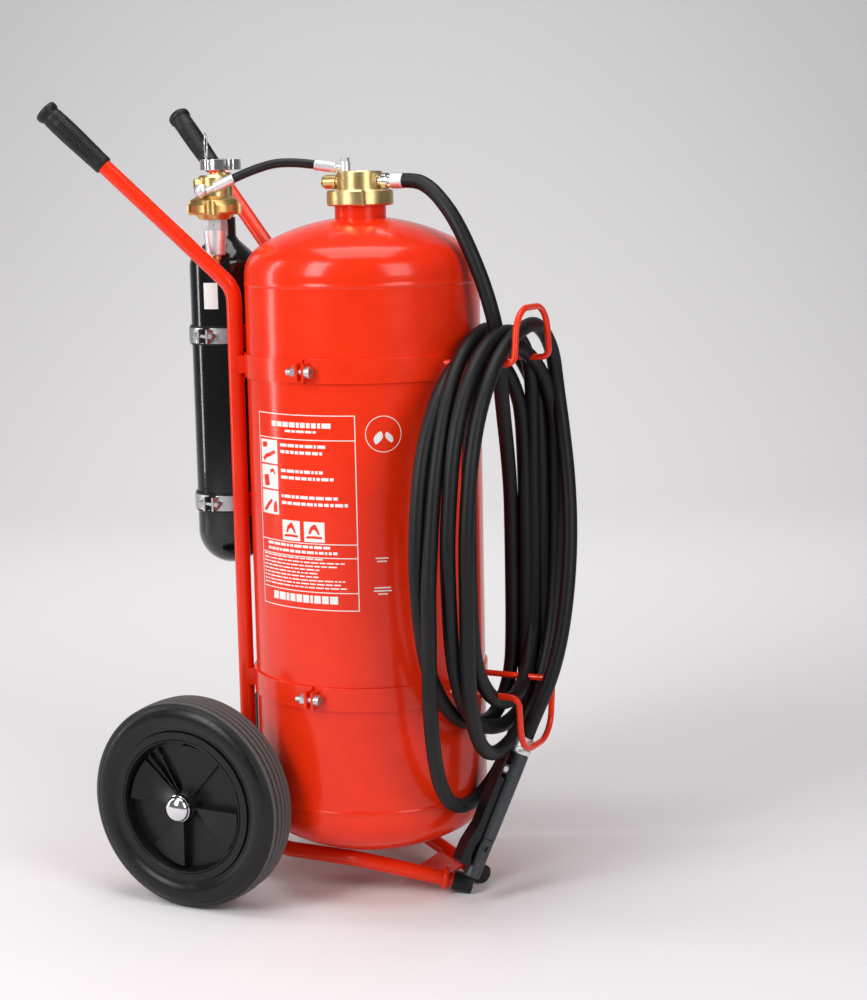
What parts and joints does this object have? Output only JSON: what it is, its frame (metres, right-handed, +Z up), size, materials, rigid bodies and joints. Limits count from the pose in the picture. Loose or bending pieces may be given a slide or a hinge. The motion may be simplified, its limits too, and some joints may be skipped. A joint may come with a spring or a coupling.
{
  "type": "wheeled fire extinguisher",
  "caption": "Wheeled foam fire extinguisher: a red tank on a bent tube trolley with an outside gas cylinder, a brass head, and a coiled hose with a lance hung on hooks.",
  "frame": {"origin": "middle of the object's base on the floor, under the tank", "axes": "+Z up; X along the axle; the handles and the gas cylinder towards +Y, the foot and the coiled hose towards -Y"},
  "size_m": [0.475, 0.6407, 1.0199],
  "materials": {
    "red_paint": "glossy enamel",
    "black_paint": "glossy enamel",
    "black_rubber": "satin",
    "tyre": "worn matte",
    "black_plastic": "moulded satin",
    "pale_nylon": "natural",
    "brass": "machined",
    "chrome": "bright plated",
    "zinc_steel": "zinc plated",
    "dull_steel": "plain",
    "cast_aluminium": "cast and polished",
    "dark_anodised": "dark anodised"
  },
  "bodies": {
    "chassis": {"axle": "zinc_steel", "axle_caps": "chrome", "axle_washers": "zinc_steel", "band_bolts": "zinc_steel", "clamp_bolts": "zinc_steel", "clamp_liners": "black_rubber", "cylinder_bars": "red_paint", "cylinder_clamps": "zinc_steel", "cylinder_shell": "black_paint", "dip_tube": "dull_steel", "foot_caps": "black_rubber", "foot_loop": "red_paint", "foot_plate": "red_paint", "frame_tube_left": "red_paint", "frame_tube_right": "red_paint", "gas_banjo_bolt": "chrome", "gas_ferrules": "chrome", "gas_hose": "black_rubber", "grip_left": "black_rubber", "grip_right": "black_rubber", "head_body": "brass", "hook_lower": "red_paint", "hook_upper": "red_paint", "hose_coil": "black_rubber", "hose_ferrule": "chrome", "hose_lead": "black_rubber", "hose_tail": "black_rubber", "lance_body": "dark_anodised", "lever_rivet": "zinc_steel", "lower_band": "red_paint", "neck_seal": "black_rubber", "outlet_ferrule": "chrome", "outlet_fitting": "chrome", "regulator_body": "chrome", "regulator_vent": "brass", "relief_body": "brass", "relief_spring": "dull_steel", "ring_nut": "brass", "tank_neck": "red_paint", "tank_shell": "red_paint", "tube_brackets": "red_paint", "union_nut": "brass", "upper_band": "red_paint", "valve_body": "brass"},
    "wheel_left": {"tyre_left": "tyre", "rim_left": "black_plastic", "bush_left": "pale_nylon"},
    "wheel_right": {"tyre_right": "tyre", "rim_right": "black_plastic", "bush_right": "pale_nylon"},
    "handwheel": {"handwheel": "cast_aluminium", "valve_spindle": "dull_steel"},
    "valve_plug": {"valve_plug": "brass"},
    "safety_pin": {"safety_pin": "zinc_steel", "pin_ring": "zinc_steel"},
    "relief_poppet": {"relief_poppet": "brass"},
    "lance_lever": {"lance_lever": "black_plastic"},
    "lance_plunger": {"lance_plunger": "brass"},
    "nozzle_sleeve": {"nozzle_sleeve": "dark_anodised", "nozzle_vanes": "dull_steel"}
  },
  "joints": [
    {"name": "wheel_left_spin", "type": "hinge", "parent": "chassis", "child": "wheel_left", "pos_m": [-0.197, 0.089, 0.135], "axis": [1, 0, 0], "continuous": true},
    {"name": "wheel_right_spin", "type": "hinge", "parent": "chassis", "child": "wheel_right", "pos_m": [0.197, 0.089, 0.135], "axis": [1, 0, 0], "continuous": true},
    {"name": "handwheel_turn", "type": "hinge", "parent": "chassis", "child": "handwheel", "pos_m": [0, 0.135, 0.938], "axis": [0, 0, 1], "range_deg": [0, 720]},
    {"name": "valve_plug_lift", "type": "slide", "parent": "chassis", "child": "valve_plug", "axis": [0, 0, 1], "range_m": [0, 0.004]},
    {"name": "safety_pin_pull", "type": "slide", "parent": "handwheel", "child": "safety_pin", "axis": [0, 0, 1], "range_m": [0, 0.04]},
    {"name": "relief_poppet_slide", "type": "slide", "parent": "chassis", "child": "relief_poppet", "axis": [0, 1, 0], "range_m": [0, 0.003], "stiffness_N_per_m": 2000, "springref_m": -0.004, "deforming": ["relief_spring"]},
    {"name": "lance_lever_lift", "type": "hinge", "parent": "chassis", "child": "lance_lever", "pos_m": [-0.02218, -0.26788, 0.17387], "axis": [0.5908, 0.8067, 0.0113], "range_deg": [0, 14], "stiffness_Nm_per_rad": 2, "springref_deg": -8.59},
    {"name": "lance_plunger_push", "type": "slide", "parent": "chassis", "child": "lance_plunger", "axis": [-0.3427, 0.2636, -0.9017], "range_m": [0, 0.005]},
    {"name": "nozzle_sleeve_twist", "type": "hinge", "parent": "chassis", "child": "nozzle_sleeve", "pos_m": [0.006, -0.289, 0.208], "axis": [-0.3427, 0.2636, -0.9017], "range_deg": [0, 90]}
  ],
  "couplings": [
    {"joint": "valve_plug_lift", "follows": "handwheel_turn", "m_per_rad": 0.00031828},
    {"joint": "lance_plunger_push", "follows": "lance_lever_lift", "m_per_rad": 0.020461}
  ]
}
